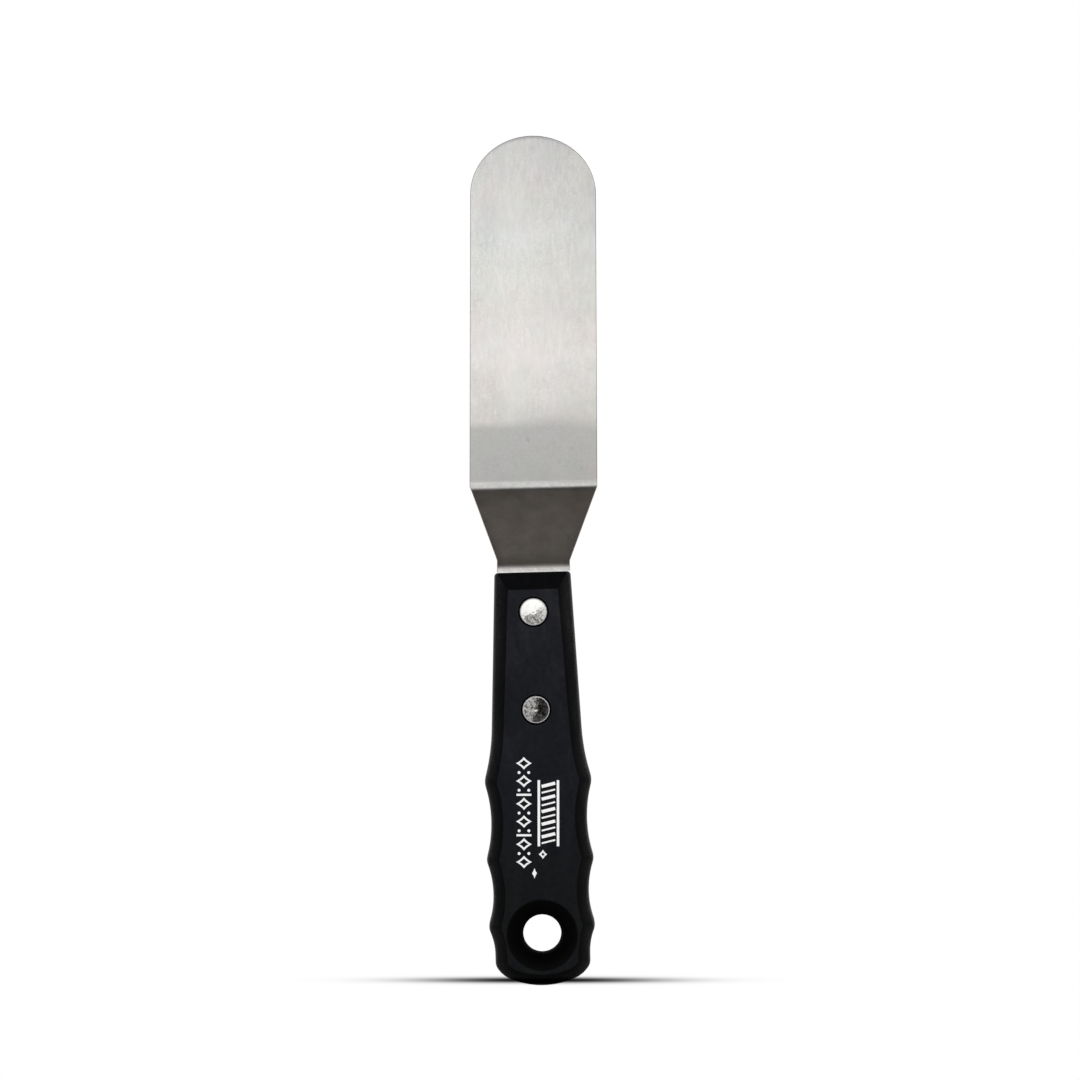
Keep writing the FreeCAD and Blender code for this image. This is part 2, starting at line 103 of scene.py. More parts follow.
class Tree:
    """Short hand for building a shader node tree."""

    def __init__(self, node_tree):
        self.nodes = node_tree.nodes
        self.links = node_tree.links
        self.nodes.clear()

    def put(self, node, key, value):
        """Links or sets one input."""
        if isinstance(value, Value):
            value = value.socket
        if isinstance(value, bpy.types.NodeSocket):
            self.links.new(value, node.inputs[key])
        else:
            node.inputs[key].default_value = value

    def node(self, kind, **values):
        """A new node; each value is a setting or, with _ for a space, an input."""
        node = self.nodes.new(kind)
        for name, value in values.items():
            if hasattr(node, name):
                setattr(node, name, value)
            else:
                self.put(node, name.replace("_", " "), value)
        return node

    def get(self, kind, output, **values):
        """One output of a new node."""
        return Value(self, self.node(kind, **values).outputs[output])

    def indexed(self, node, inputs, output=0):
        """Fills inputs, a dict by index, and gives one output."""
        for index, value in inputs.items():
            self.put(node, index, value)
        return Value(self, node.outputs[output])

    def math(self, operation, *terms, clamp=False):
        node = self.node("ShaderNodeMath", operation=operation, use_clamp=clamp)
        return self.indexed(node, dict(enumerate(terms)))

    def vmath(self, operation, *terms, output="Vector"):
        node = self.node("ShaderNodeVectorMath", operation=operation)
        return self.indexed(node, dict(enumerate(terms)), output)

    def times(self, first, second):
        """Product of two vectors or colours."""
        return self.vmath("MULTIPLY", first, second)

    def split(self, vector):
        outputs = self.node("ShaderNodeSeparateXYZ", Vector=vector).outputs
        return [Value(self, socket) for socket in outputs]

    def remap(self, value, over, to=(0.0, 1.0), smooth=False):
        """Clamped map of the range over onto the range to."""
        return self.get("ShaderNodeMapRange", "Result", clamp=True,
                        interpolation_type="SMOOTHSTEP" if smooth else "LINEAR",
                        Value=value, From_Min=over[0], From_Max=over[1],
                        To_Min=to[0], To_Max=to[1])

    def ramp(self, value, stops):
        """Colour ramp; stops are (place, colour or grey)."""
        node = self.node("ShaderNodeValToRGB", Fac=value)
        elements = node.color_ramp.elements
        while len(elements) > 1:
            elements.remove(elements[-1])
        for index, (place, color) in enumerate(stops):
            if not isinstance(color, tuple):
                color = (color, color, color)
            stop = elements.new(place) if index else elements[0]
            stop.position = place
            stop.color = (*color, 1.0)
        return Value(self, node.outputs["Color"])

    def noise(self, vector, scale, detail=2.0, rough=0.5, dist=0.0, w=None, axes=None):
        """Noise; axes stretches the vector first, w picks a 4D slice."""
        if axes is not None:
            vector = self.times(vector, axes)
        slice_at = {} if w is None else {"noise_dimensions": "4D", "W": w}
        return self.get("ShaderNodeTexNoise", "Fac", **slice_at, Vector=vector, Scale=scale,
                        Detail=detail, Roughness=rough, Distortion=dist)

    def wave(self, vector, scale, amp, **options):
        """Noise centred on zero."""
        return (self.noise(vector, scale, **options) - 0.5) * amp

    def mix(self, fac, first, second):
        """Blend of two colours."""
        node = self.node("ShaderNodeMix", data_type="RGBA", blend_type="MIX", clamp_factor=True)
        first, second = ((*color, 1.0) if isinstance(color, tuple) else color
                         for color in (first, second))
        return self.indexed(node, {0: fac, 6: first, 7: second}, output=2)

    def mixf(self, fac, first, second):
        """Blend of two numbers."""
        node = self.node("ShaderNodeMix", data_type="FLOAT", clamp_factor=True)
        return self.indexed(node, {0: fac, 2: first, 3: second})

    def bump(self, height, distance, strength, **normal):
        return self.get("ShaderNodeBump", "Normal", Height=height, Distance=distance,
                        Strength=strength, **normal)

    def principled(self, **inputs):
        """Ends a material with a principled shader."""
        shader = self.node("ShaderNodeBsdfPrincipled", **inputs)
        self.node("ShaderNodeOutputMaterial", Surface=shader.outputs[0])


def new_material(name):
    """A material, its empty tree and the object position."""
    material = bpy.data.materials.new(name)
    material.use_nodes = True
    tree = Tree(material.node_tree)
    return material, tree, tree.get("ShaderNodeTexCoord", "Object")


def srgb(*channels):
    """0..255 display values to linear."""
    shares = [channel / 255.0 for channel in channels]
    return tuple(share / 12.92 if share <= 0.04045 else ((share + 0.055) / 1.055) ** 2.4
                 for share in shares)


def shadow_fade(tree, squares):
    """Bell curve of the shadow line, from squared distances."""
    return tree.math("EXPONENT", squares * -0.5)


def shadow_kept(fade):
    """Light left by the shadow line; 0.97 is its depth, 2.2 takes it to linear."""
    return (1.0 - fade * 0.97) ** 2.2


# ------------------------------------------------------------------ steel
SKEW = math.radians(1.5)                # lean of the neck and blade on the tang
PIVOT_Z = RIVET_Z[0]

# The grind line's height across the blade, left to right: (place, share of GRIND_RISE)
GRIND_Z = 128.6 * MM
GRIND_LOW = 0.126
GRIND_RISE = 0.004
GRIND_LINE = [
    (0.0, 0.25), (0.18, 0.25), (0.31, 0.3375), (0.434, 0.45), (0.56, 0.55),
    (0.625, 0.6425), (0.684, 0.6975), (0.81, 0.6425), (0.934, 0.475), (1.0, 0.45)]

# Tone tables: (place, colour or factor); they paint the blade's reflection and the bends' highlights
# into the steel's colour
GROUND_REFLECTION_TONE = [                         # painted reflection up the ground zone
    (0.00, srgb(206, 203, 199)), (0.12, srgb(208, 205, 201)), (0.17, srgb(217, 215, 211)),
    (0.29, srgb(225, 221, 218)), (0.40, srgb(221, 218, 215)), (0.48, srgb(216, 215, 211)),
    (0.55, srgb(217, 216, 212)), (0.65, srgb(213, 213, 210)), (0.72, srgb(209, 209, 207)),
    (0.80, srgb(207, 206, 203)), (0.88, srgb(201, 199.5, 197.5)), (1.00, srgb(195.5, 194, 192.5))]
# painted reflection across the ground zone, darker towards the sides
ACROSS_REFLECTION_TONE = [(0.0, 0.985), (0.12, 0.975), (0.32, 1.03), (0.5, 1.0), (0.75, 0.965), (1.0, 0.94)]
NECK_REFLECTION_TONE = [                           # painted reflection up the neck, slightly warm
    (place, (level * 1.10, level * 0.99, level * 0.91)) for place, level in
    ((0.0, 0.95), (0.06, 1.22), (0.18, 1.60), (0.42, 1.68), (0.66, 1.56), (0.86, 1.34), (1.0, 1.16))]
# painted highlights on the upper and the lower bend
UPPER_BEND_HIGHLIGHT = [
    (0.0, srgb(176, 174, 171)), (0.3, srgb(191, 189.5, 187)),
    (0.65, srgb(195, 193.5, 191)), (1.0, srgb(187, 185.5, 184))]
LOWER_BEND_HIGHLIGHT = [
    (0.0, srgb(203, 201, 198)), (0.3, srgb(190, 188, 185)),
    (0.6, srgb(190, 188, 186)), (1.0, srgb(186, 184, 182))]
HEEL_TONE = srgb(177.5, 176.8, 174.3)

# Specks on heel and neck: x, z, radius; those over BIG_SPECK show more
SPECKS = [
    (-0.0014, 0.1236, 0.0006), (0.0098, 0.1215, 0.0005), (0.0065, 0.1181, 0.0005),
    (0.0121, 0.1164, 0.0005), (-0.0090, 0.1172, 0.0003), (0.0052, 0.1228, 0.0003),
    (0.0089, 0.0991, 0.0006), (-0.0045, 0.0995, 0.0004), (-0.0034, 0.1090, 0.0004)]
BIG_SPECK = 0.0005
SPECK_COLOR = (0.20, 0.17, 0.14)
# painted shade on the blade's edges and at the end of the tip
EDGE_SHADE_COLOR = (0.10, 0.10, 0.10)
TIP_SHADE_COLOR = (0.22, 0.22, 0.24)
# Colour drifts: noise scale, slice, the two tints
DRIFTS = [
    (105, 11.0, (0.991, 1.001, 1.009), (1.009, 0.999, 0.989)),
    (150, 14.0, (0.992, 1.007, 0.996), (1.009, 0.993, 1.005))]
# Ellipse the painted shade at the end of the tip follows: centre height, half width, half height
TIP_Z, TIP_HALF_X, TIP_HALF_Z = 0.186, 0.01592, 0.01475


def blade_position(tree, pos):
    """Position on the leaning blade: x sideways, z lengthwise."""
    x, y, z = tree.split(pos)
    above = z - PIVOT_Z
    across = x * math.cos(SKEW) - above * math.sin(SKEW)
    along = PIVOT_Z + (x * math.sin(SKEW) + above * math.cos(SKEW))
    return across, along, tree.get("ShaderNodeCombineXYZ", 0, X=across, Y=y, Z=along)


def grind_mask(tree, x, z, pos):
    """1 above the grind line, which climbs to the right, dips at the edge and softens."""
    climb = tree.ramp(tree.remap(x, over=(-0.016, 0.016)), GRIND_LINE)
    line = z + (GRIND_Z - GRIND_LOW) - climb * GRIND_RISE
    line = line + tree.wave(pos, scale=90, amp=0.0014, axes=(1, 0.001, 0.05))
    line = line + tree.wave(pos, scale=700, amp=0.0010, axes=(1, 0.001, 0.06))
    soft = tree.remap(x, over=(-0.013, 0.012), to=(0.0009, 0.0019))
    return tree.math("DIVIDE", line - (GRIND_Z - soft), soft * 2.0, clamp=True)


def ground_color(tree, x, z, pos):
    """Painted reflection as tone along and across the blade, with short streaks, fine speckle and
    soft clouds.
    """
    tone = tree.ramp(tree.remap(z, over=(0.120, 0.202)), GROUND_REFLECTION_TONE)
    across = tree.ramp(tree.remap(x, over=(-0.0165, 0.0165)), ACROSS_REFLECTION_TONE)
    patchy = tree.remap(tree.noise(pos, scale=85, w=5.0, axes=(1, 1, 0.6)),
                        over=(0.38, 0.62), to=(0.35, 1.5))
    amp = (tree.wave(pos, scale=1150, amp=0.18, rough=0.6, axes=(1, 1, 0.46))
           + tree.wave(pos, scale=1700, amp=0.26, rough=0.7, w=3.0, axes=(1, 1, 1.1)))
    amp = amp * patchy
    # dark and bright grinding lines
    lines = tree.noise(pos, scale=1500, w=21.0, axes=(1, 1, 0.10))
    amp = amp - tree.remap(lines, over=(0.61, 0.72), to=(0.0, 0.045))
    amp = amp + tree.remap(lines, over=(0.38, 0.28), to=(0.0, 0.035))
    # clouds, the last of them only towards the sides
    amp = amp + tree.wave(pos, scale=150, amp=0.16, detail=3, rough=0.55, axes=(1, 1, 0.7))
    amp = amp + tree.wave(pos, scale=60, amp=0.06, detail=1, w=8.0, axes=(0.5, 1, 1.5))
    sides = tree.remap(abs(x), over=(0.006, 0.014))
    amp = amp + tree.wave(pos, scale=130, amp=0.22, rough=0.55, w=17.0, axes=(0.6, 1, 1.4)) * sides
    # dark flecks
    flecks = (tree.remap(tree.noise(pos, scale=620, detail=3, rough=0.7, w=25.0),
                         over=(0.655, 0.72))
              * tree.remap(abs(x), over=(0.004, 0.013), to=(0.3, 1.0)))
    amp = amp - flecks * 0.10
    return tree.times(tree.times(tone, across), amp + 1.0)


def neck_color(tree, x, z, rolled):
    """The rolled finish with the neck's painted reflection laid over it."""
    neck = tree.remap(z, over=(0.0913, 0.0920)) * tree.remap(z, over=(0.1112, 0.1107))
    tone = tree.ramp(tree.remap(z, over=(0.0915, 0.1115)), NECK_REFLECTION_TONE)
    # painted shade: a little darker towards its sides, but not up by the heel
    half_width = tree.remap(z, over=(0.09315, 0.1118), to=(0.00912, 0.01617))
    side = (tree.remap(abs(x) / half_width, over=(0.76, 1.0))
            * tree.remap(z, over=(0.108, 0.101)))
    tone = tree.times(tone, 1.0 - side * 0.22)
    return tree.mix(neck, rolled, tree.times(rolled, tone))


def bend_highlight_color(tree, z, pos, rolled):
    """Painted highlights on the two pressed bends, with dents on the upper one and slanting press
    marks on the lower one.
    """
    upper = tree.remap(z, over=(0.11080, 0.11150)) * tree.remap(z, over=(0.11350, 0.11240))
    lower = tree.remap(z, over=(0.0880, 0.0895)) * tree.remap(z, over=(0.0919, 0.0911))
    slant = tree.get("ShaderNodeMapping", "Vector", Vector=pos,
                     Rotation=(0, math.radians(38), 0))
    marks = tree.wave(slant, scale=2600, amp=0.80, rough=0.6, axes=(1, 1, 0.15))
    upper_highlight = tree.ramp(tree.remap(z, over=(0.1110, 0.1135)), UPPER_BEND_HIGHLIGHT)
    lower_highlight = tree.ramp(tree.remap(z, over=(0.0903, 0.0918)), LOWER_BEND_HIGHLIGHT)
    dents = (tree.wave(pos, scale=900, amp=0.42)
             + tree.wave(pos, scale=2300, amp=0.34, rough=0.6, w=6.0))
    rolled = tree.mix(upper, rolled, tree.times(upper_highlight, dents + 1.02))
    return tree.mix(lower, rolled, tree.times(lower_highlight, marks + 1.0))


def rolled_color(tree, x, z, pos, blotch):
    """Heel and neck: a smoother rolled finish with soft blotches and a few specks, with the neck's
    painted reflection and the bends' painted highlights laid over it.
    """
    rolled = tree.times(HEEL_TONE, (blotch - 0.5) * 0.30 + 1.0)
    fine = tree.wave(pos, scale=1500, amp=0.26, detail=3, rough=0.55)
    rolled = tree.times(rolled, fine + 1.0)
    rolled = tree.times(rolled, tree.remap(z, over=(0.1140, 0.1270), to=(0.955, 1.0)))
    rolled = neck_color(tree, x, z, rolled)
    for speck_x, speck_z, radius in SPECKS:
        square = (x - speck_x) ** 2.0 + ((z - speck_z) * 0.75) ** 2.0
        speck = tree.remap(tree.math("SQRT", square), over=(radius * 0.3, radius * 1.3),
                           to=(1.0, 0.0), smooth=True)
        strength = 0.24 if radius > BIG_SPECK else 0.15
        rolled = tree.mix(speck * strength, rolled, SPECK_COLOR)
    return bend_highlight_color(tree, z, pos, rolled)


def paint_edge_shade(tree, x, z, base):
    """Painted shade: the broken edge all round is painted darker than the faces, and so is a band
    round the end of the tip.
    """
    normal_y = tree.split(tree.get("ShaderNodeNewGeometry", "True Normal"))[1]
    edge_shade = tree.remap(abs(normal_y), over=(0.90, 0.75)) * tree.remap(z, over=(0.1125, 0.1135))
    base = tree.mix(edge_shade * 0.55, base, EDGE_SHADE_COLOR)
    above = tree.math("MAXIMUM", z - TIP_Z, 0.0)
    reach = tree.math("SQRT", (x / TIP_HALF_X) ** 2.0 + (above / TIP_HALF_Z) ** 2.0)
    wear_and_shade = (tree.remap(reach, over=(0.930, 0.985), smooth=True)
            * tree.remap(abs(x + 0.001), over=(0.0125, 0.003))
            * tree.remap(z, over=(0.190, 0.194)))
    return tree.mix(wear_and_shade * 0.50, base, TIP_SHADE_COLOR)


def steel_material():
    """Stainless sheet: lengthwise grind above the grind line, rolled below it."""
    material, tree, pos = new_material("stainless_blade")
    x, z, pos = blade_position(tree, pos)
    ground = grind_mask(tree, x, z, pos)
    blotch = tree.noise(pos, scale=230, detail=4, rough=0.6)
    base = tree.mix(ground, rolled_color(tree, x, z, pos, blotch),
                    ground_color(tree, x, z, pos))
    for scale, w, first_tint, second_tint in DRIFTS:
        drift = tree.remap(tree.noise(pos, scale, w=w), over=(0.36, 0.64))
        base = tree.times(base, tree.mix(drift, first_tint, second_tint))
    base = paint_edge_shade(tree, x, z, base)

    streaks = tree.wave(pos, scale=1600, amp=0.12, axes=(1, 1, 0.2))
    rough = tree.mixf(ground, 0.30 + (blotch - 0.5) * 0.12, 0.35 + streaks)
    scratches = tree.noise(pos, scale=3800, rough=0.6, axes=(1, 1, 0.06))
    normal = tree.bump(scratches, distance=0.000010, strength=tree.mixf(ground, 0.12, 0.6))
    swells = tree.noise(pos, scale=160, axes=(1, 1, 0.5))
    normal = tree.bump(swells, distance=0.00002, strength=0.4, Normal=normal)
    tree.principled(Metallic=1.0, Base_Color=base, Roughness=rough, Normal=normal)
    return material


# ------------------------------------------------------------------ handle plastic
# Painted sheen factors: up the flat face, and outwards to inwards down the bevels
FACE_PAINTED_SHEEN = [
    (0.0, 0.60), (0.22, 0.59), (0.40, 0.72), (0.55, 0.80), (0.68, 0.79), (0.76, 0.76),
    (0.86, 0.92), (1.0, 0.97)]
BEVEL_PAINTED_SHEEN = [
    (0.0, 0.28), (0.16, 0.40), (0.30, 0.66), (0.42, 0.98), (0.55, 1.45), (0.72, 1.35),
    (0.82, 0.85), (1.0, 0.5)]
BLUE_BLACKS = (0.0019, 0.0025, 0.0052), (0.0033, 0.0040, 0.0078)
FOOT_BLACK = (0.0025, 0.0032, 0.0040)
SLOPE_PAINTED_BLACK = (0.0026, 0.0026, 0.0027)
RECESS_SHADE_BLACK = (0.0011, 0.0011, 0.0010)
HAZE_COLOR = (0.0085, 0.0092, 0.0125)
SCUFF_COLOR = (0.016, 0.016, 0.017)
COUNTERBORE_R = 0.003815
SHADOW_BELOW, SHADOW_HALF = 0.01158, 0.00050    # shadow line across the handle's foot


def recess_mask(tree, x, y, z, hole_r):
    """The dished mouths of the hang hole and the counterbores round the rivet heads."""
    recess = (tree.remap(hole_r, over=(0.00915, 0.00892))
              * tree.remap(abs(y), over=(0.00649, 0.00640)))
    for rivet_z in RIVET_Z:
        radius = tree.math("SQRT", x * x + (z - rivet_z) ** 2.0)
        bore = (tree.math("LESS_THAN", radius, COUNTERBORE_R)
                * tree.remap(abs(y), over=(0.00649, 0.00645)))
        recess = tree.math("MAXIMUM", recess, bore)
    return recess


def bevel_painted_sheen(tree, y, z, normal_x, normal_z, pos):
    """Painted sheen on the bevels: brighter along their outer edge, where they are also rubbed,
    duller to the crease, darker across the mouth.
    """
    depth = -FACE_Y * MM - abs(y)
    tone = tree.ramp(tree.remap(depth, over=(0.0, 0.0038)), BEVEL_PAINTED_SHEEN)
    rub = (tree.remap(depth, over=(0.0010, 0.0022), to=(0.25, 1.0))
           * (tree.noise(pos, scale=1900, detail=3, rough=0.7) - 0.5))
    tone = tone * tree.math("MAXIMUM", 1.0 + rub * 3.0, 0.1)
    # painted: darker near the top, a little brighter where turned sideways, darker across the mouth,
    # brighter across the foot
    tone = tone * tree.remap(z, over=(0.080, 0.0885), to=(1.0, 0.72))
    tone = tone * tree.remap(normal_x, over=(0.20, 0.45), to=(1.0, 1.12))
    tone = tree.mixf(tree.remap(normal_z, over=(0.35, 0.55)), tone, 0.60)
    return tone * tree.remap(normal_z, over=(-0.35, -0.60), to=(1.0, 2.1))


def plastic_material():
    material, tree, pos = new_material("black_handle_plastic")
    x, y, z = tree.split(pos)
    smear = tree.noise(pos, scale=260, detail=3, rough=0.6, dist=0.5, axes=(1, 1, 0.30))
    patch = tree.noise(pos, scale=70, detail=3, rough=0.55)
    grain = tree.noise(pos, scale=2400)

    color = tree.mix(tree.remap(patch, over=(0.3, 0.7)), *BLUE_BLACKS)
    color = tree.mix(tree.remap(z, over=(0.034, 0.004)), color, FOOT_BLACK)
    # faint haze on the upper half of the face
    haze = tree.remap(smear, over=(0.50, 0.72)) * tree.remap(z, over=(0.030, 0.070))
    color = tree.mix(haze * 0.9, color, HAZE_COLOR)
    # scuffed edges, found where a rounded normal leaves the true one
    geometry = tree.node("ShaderNodeNewGeometry").outputs
    rounded = tree.get("ShaderNodeBevel", "Normal", samples=4, Radius=0.00035)
    match = tree.vmath("DOT_PRODUCT", rounded, geometry["Normal"], output="Value")
    edge = (tree.remap(match, over=(0.998, 0.93))
            * tree.remap(tree.noise(pos, scale=800, detail=3, rough=0.6), over=(0.42, 0.62)))
    color = tree.mix(edge * 0.5, color, SCUFF_COLOR)
    # painted tint: off the flat face the same plastic is given a more neutral black
    normal_x, normal_y, normal_z = tree.split(geometry["True Normal"])
    sloping = tree.remap(abs(normal_y), over=(0.97, 0.90))
    color = tree.mix(sloping * 0.8, color, SLOPE_PAINTED_BLACK)
    # painted shade: the recesses are near black with little sheen, and matt; a painted highlight on
    # the lower side of the hang hole's dish fades it into the face
    hole_r = tree.math("SQRT", x * x + z * z)
    recess = recess_mask(tree, x, y, z, hole_r)
    dish_start = tree.remap(z, over=(-0.007, 0.004), to=(0.0064, 0.0084))
    dish_highlight_zone = tree.remap(hole_r, over=(dish_start, 0.0090))
    color = tree.mix(recess, color, RECESS_SHADE_BLACK)
    rough = 0.37 + ((smear - 0.5) * 0.20 + (grain - 0.5) * 0.10)
    rough = tree.mixf(recess, rough, 0.75)

    sheen = tree.mixf(tree.remap(smear, over=(0.35, 0.7)), 0.145, 0.205)
    # painted sheen: the face's gloss fades towards the foot
    sheen = sheen * tree.ramp(tree.remap(z, over=(-0.010, 0.090)), FACE_PAINTED_SHEEN)
    sheen = sheen * (1.0 + tree.wave(pos, scale=850, amp=1.25, detail=4, rough=0.7))
    bevel = bevel_painted_sheen(tree, y, z, normal_x, normal_z, pos)
    sheen = sheen * tree.mixf(sloping, 1.0, bevel)
    # painted sheen: the side walls and the rear scale are given more than the front face
    sheen = tree.mixf(tree.remap(abs(normal_x), over=(0.84, 0.96)), sheen,
                      tree.remap(smear, over=(0.3, 0.7), to=(0.34, 0.46)))
    sheen = sheen * tree.remap(y, over=(0.0, 0.0005), to=(1.0, 1.8))
    # painted highlight on the dish's outer lower part; the rest of the recesses get painted shade
    dish_painted_sheen = tree.remap(z, over=(-0.008, 0.006), to=(0.09, 0.05))
    sheen = tree.mixf(recess, sheen, tree.mixf(dish_highlight_zone, 0.03, dish_painted_sheen))
    # the shadow line on the floor is drawn across the foot of the front scale too
    band = z + SHADOW_BELOW + x * math.tan(-ROLL)
    fade = shadow_fade(tree, (band / SHADOW_HALF) ** 2.0)
    fade = fade * tree.remap(y, over=(0.0, -0.0005))
    kept = shadow_kept(fade)

    normal = tree.bump(grain, distance=0.000010, strength=0.6)
    swells = tree.noise(pos, scale=420, detail=3, rough=0.55)
    normal = tree.bump(swells, distance=0.000016, strength=0.5, Normal=normal)
    tree.principled(Base_Color=tree.times(color, kept), Roughness=rough,
                    Specular_IOR_Level=sheen * kept, Normal=normal)
    return material


# ------------------------------------------------------------------ rivets
SECTOR_HIGHLIGHT_COLOR = (0.99, 0.985, 0.97)
RIDGE_HIGHLIGHT_COLOR = (0.86, 0.855, 0.83)
RING_COLOR = (0.46, 0.46, 0.455)


def rivet_material(name, rivet_z, tilt, plate, stain_and_shade_color, tarnish_and_shade, sector, sector_shade, shift, ragged,
                   sector_highlight, lean_to, ridge_highlight, seed):
    """Nickel plate, finely dented and tarnished, with a plain ring round the cone and painted
    reflection on it.

    tilt leans the normals inside the ring; plate is the clean colour, stain_and_shade_color the
    colour of the tarnished mottles and of the painted shade; tarnish_and_shade is their general
    amount, laid so thick on the lower rivet that it also paints the cone's dark reflection. sector
    (from, to, degrees) is a painted reflection that took more painted shade, by sector_shade: shift
    moves its apex in x, ragged frays its border, sector_highlight paints its clean metal brighter as
    a painted highlight, lean_to makes its painted shade heavier towards its clockwise end,
    ridge_highlight paints a bright line round it.
    """
    material, tree, pos = new_material(name)
    x, _, z = tree.split(pos)
    up = z - rivet_z
    radius = tree.math("SQRT", x * x + up * up)
    ring = tree.remap(radius, over=(0.00300, 0.00316))
    mottle = tree.noise(pos, scale=1050, detail=3, rough=0.62, dist=0.5, w=seed)
    pits = tree.noise(pos, scale=2300, w=seed + 1)

    # the sector is a painted reflection; angle from its middle direction
    middle = math.radians((sector[0] + sector[1]) / 2)
    half = math.radians((sector[1] - sector[0]) / 2)
    right = x - shift
    along = right * math.cos(middle) + up * math.sin(middle)
    off = up * math.cos(middle) - right * math.sin(middle)
    angle = abs(tree.math("ARCTAN2", off, along))
    angle = angle + tree.wave(pos, scale=620, amp=ragged, detail=3, rough=0.65, w=seed + 2)
    inside = (tree.remap(angle, over=(half + 0.05, half - 0.05))
              * tree.remap(radius, over=(0.0004, 0.0008)))

    # the tarnished mottles; laid thick, as on the lower rivet, they also paint dark reflection
    stain_and_shade = tree.remap(mottle, over=(0.44, 0.62)) * tarnish_and_shade
    fine = tree.noise(pos, scale=2100, rough=0.6, dist=0.3, w=seed + 3)
    speck = mottle * 0.62 + fine * 0.38
    speck = speck + tree.remap(off * -1.0, over=(-0.0022, 0.0026)) * (0.10 * lean_to)
    speck = speck - 0.04 * lean_to
    # painted shade: dark blotches laid thick inside the sector
    painted_sector_shade = inside * tree.remap(speck, over=(0.455, 0.57), to=(0.05 * sector_shade, sector_shade))
    stain_and_shade = tree.math("MAXIMUM", stain_and_shade, painted_sector_shade)
    # painted highlight: the clean metal inside the sector is brightened towards white
    color = tree.mix(stain_and_shade, tree.mix(inside * sector_highlight, plate, SECTOR_HIGHLIGHT_COLOR), stain_and_shade_color)
    # painted highlight: a bright line round the sector's border
    line = tree.remap(abs(angle - (half + 0.10)), over=(0.15, 0.03), to=(0.0, ridge_highlight))
    color = tree.mix(line, color, RIDGE_HIGHLIGHT_COLOR)
    color = tree.mix(ring, color, RING_COLOR)

    lean = tree.get("ShaderNodeVectorMath", 0, operation="SCALE", Vector=tilt, Scale=1.0 - ring)
    lean = tree.vmath("ADD", tree.get("ShaderNodeNewGeometry", "Normal"), lean)
    normal = tree.bump(mottle, distance=0.00006, strength=0.42,
                       Normal=tree.vmath("NORMALIZE", lean))
    normal = tree.bump(pits, distance=0.00002, strength=0.45, Normal=normal)
    rough = 0.055 + tree.remap(mottle, over=(0.35, 0.7)) * 0.09
    tree.principled(Metallic=1.0, Base_Color=color, Roughness=tree.mixf(ring, rough, 0.30),
                    Normal=normal)
    return material


# ------------------------------------------------------------------ printed ornament
INK_WHITE = (0.90, 0.90, 0.90)
INK_WORN = (0.18, 0.18, 0.19)
INK_SUNK = 0.004                        # the print's back lies this deep in the face, mm
INK_THICK = 0.03                        # and its front this far out of it
PRINT_TURN = math.radians(-1.5)
PRINT_AT = (0.0, 29.5)                  # x, z the ornament is turned about, mm


def ink_material():
    material, tree, pos = new_material("white_pad_print")
    dots = tree.remap(tree.noise(pos, scale=2600, detail=3, rough=0.6), over=(0.60, 0.70))
    streaks = tree.remap(tree.noise(pos, scale=700, rough=0.6, axes=(1, 1, 0.4)),
                         over=(0.66, 0.74))
    wear_and_shade = tree.math("MAXIMUM", dots, streaks)
    tree.principled(Base_Color=tree.mix(wear_and_shade * 0.75, INK_WHITE, INK_WORN),
                    Roughness=0.5 + wear_and_shade * 0.2, Specular_IOR_Level=0.3,
                    Normal=tree.bump(tree.noise(pos, scale=3000), distance=0.000006,
                                     strength=0.5))
    return material


def print_point(u, v):
    """Ornament u, v to the handle's x, z, all in mm."""
    across, up = u - PRINT_AT[0], v - PRINT_AT[1]
    cos, sin = math.cos(PRINT_TURN), math.sin(PRINT_TURN)
    return PRINT_AT[0] + across * cos - up * sin, PRINT_AT[1] + across * sin + up * cos


def slab(bm, outer, inner=None):
    """A thin closed plate on the face; outer and inner are equal-length rings of (u, v)."""
    def ring(points, y):
        placed = [print_point(u, v) for u, v in points]
        return [bm.verts.new((x * MM, y * MM, z * MM)) for x, z in placed]

    back_y, front_y = FACE_Y + INK_SUNK, FACE_Y - INK_THICK
    back, front = ring(outer, back_y), ring(outer, front_y)
    count = len(outer)
    if inner is None:
        bm.faces.new(front)
        bm.faces.new(list(reversed(back)))
    else:
        hole_back, hole_front = ring(inner, back_y), ring(inner, front_y)
        for k in range(count):
            j = (k + 1) % count
            bm.faces.new((front[k], front[j], hole_front[j], hole_front[k]))
            bm.faces.new((back[j], back[k], hole_back[k], hole_back[j]))
            bm.faces.new((hole_front[k], hole_front[j], hole_back[j], hole_back[k]))
    for k in range(count):
        j = (k + 1) % count
        bm.faces.new((back[k], back[j], front[j], front[k]))


def circle(u, v, radius, count):
    turns = [2 * math.pi * k / count for k in range(count)]
    return [(u + radius * math.cos(turn), v + radius * math.sin(turn)) for turn in turns]


def lozenge(u, v, half_u, half_v, bow=0.12, count=6):
    """A diamond; bow pulls its sides in, count is the points to a side."""
    corners = [(half_u, 0), (0, half_v), (-half_u, 0), (0, -half_v)]
    points = []
    for k in range(4):
        start, end = corners[k], corners[(k + 1) % 4]
        for i in range(count):
            part = i / count
            pull = 1.0 - bow * 4 * part * (1 - part)
            points.append((u + (start[0] + (end[0] - start[0]) * part) * pull,
                           v + (start[1] + (end[1] - start[1]) * part) * pull))
    return points


def bar(u0, v0, u1, v1, width):
    length = math.hypot(u1 - u0, v1 - v0)
    side_u, side_v = -(v1 - v0) / length * width / 2, (u1 - u0) / length * width / 2
    return [(u0 + side_u, v0 + side_v), (u0 - side_u, v0 - side_v),
            (u1 - side_u, v1 - side_v), (u1 + side_u, v1 + side_v)]


